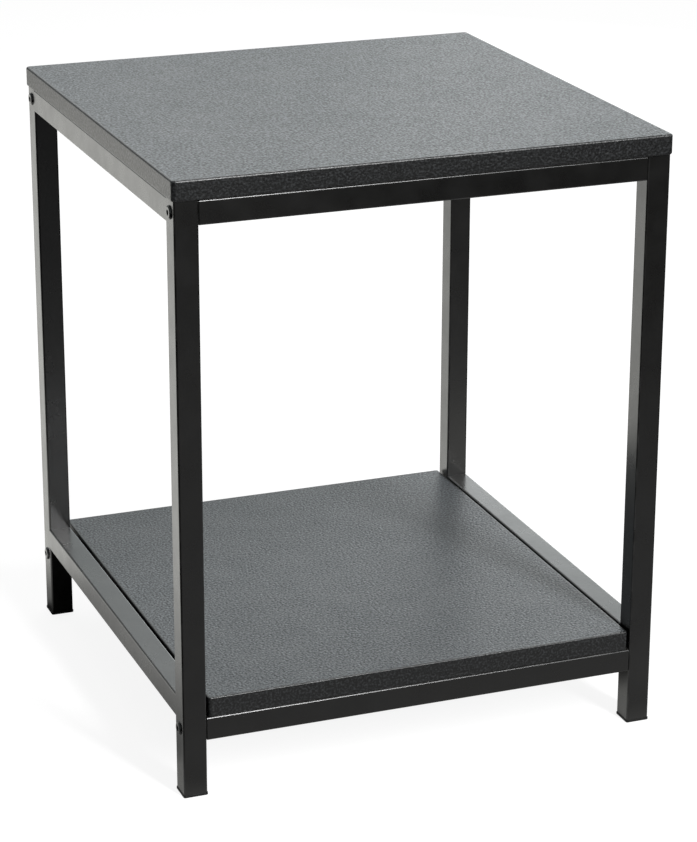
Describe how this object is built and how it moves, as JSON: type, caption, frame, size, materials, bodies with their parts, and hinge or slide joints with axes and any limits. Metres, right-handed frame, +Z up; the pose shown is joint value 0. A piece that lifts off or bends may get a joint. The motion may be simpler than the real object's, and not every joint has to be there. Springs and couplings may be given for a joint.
{
  "type": "end table with shelf",
  "caption": "Small square end table: black square-tube frame, textured black top board and a low shelf, held by low button-head bolts.",
  "frame": {"origin": "on the floor, under the middle of the top board", "axes": "+Z up, +X to the right along the bolted cross rails, +Y to the back along the welded side rails"},
  "size_m": [0.4002, 0.4, 0.49],
  "materials": {
    "board_laminate": "fine-textured black laminate on particle board",
    "edge_band": "fine-textured black edge band",
    "frame_paint": "smooth satin black powder coat",
    "bolt_finish": "black oxide, slightly glossy",
    "screw_steel": "zinc-plated",
    "plug_plastic": "moulded black plastic"
  },
  "bodies": {
    "root": {"top_panel": "board_laminate", "shelf_panel": "board_laminate", "top_edge_band": "edge_band", "shelf_edge_band": "edge_band", "leg_front_left": "frame_paint", "leg_front_right": "frame_paint", "leg_back_left": "frame_paint", "leg_back_right": "frame_paint", "side_rail_upper_left": "frame_paint", "side_rail_upper_right": "frame_paint", "side_rail_lower_left": "frame_paint", "side_rail_lower_right": "frame_paint", "cross_rail_upper_front": "frame_paint", "cross_rail_upper_back": "frame_paint", "cross_rail_lower_front": "frame_paint", "cross_rail_lower_back": "frame_paint", "weld_beads_left": "frame_paint", "weld_beads_right": "frame_paint", "ground_welds_left": "frame_paint", "ground_welds_right": "frame_paint", "rail_end_nuts": "frame_paint", "frame_bolts": "bolt_finish", "top_screws": "screw_steel", "shelf_screws": "screw_steel", "foot_plug_front_left": "plug_plastic", "foot_plug_front_right": "plug_plastic", "foot_plug_back_left": "plug_plastic", "foot_plug_back_right": "plug_plastic"}
  },
  "joints": []
}
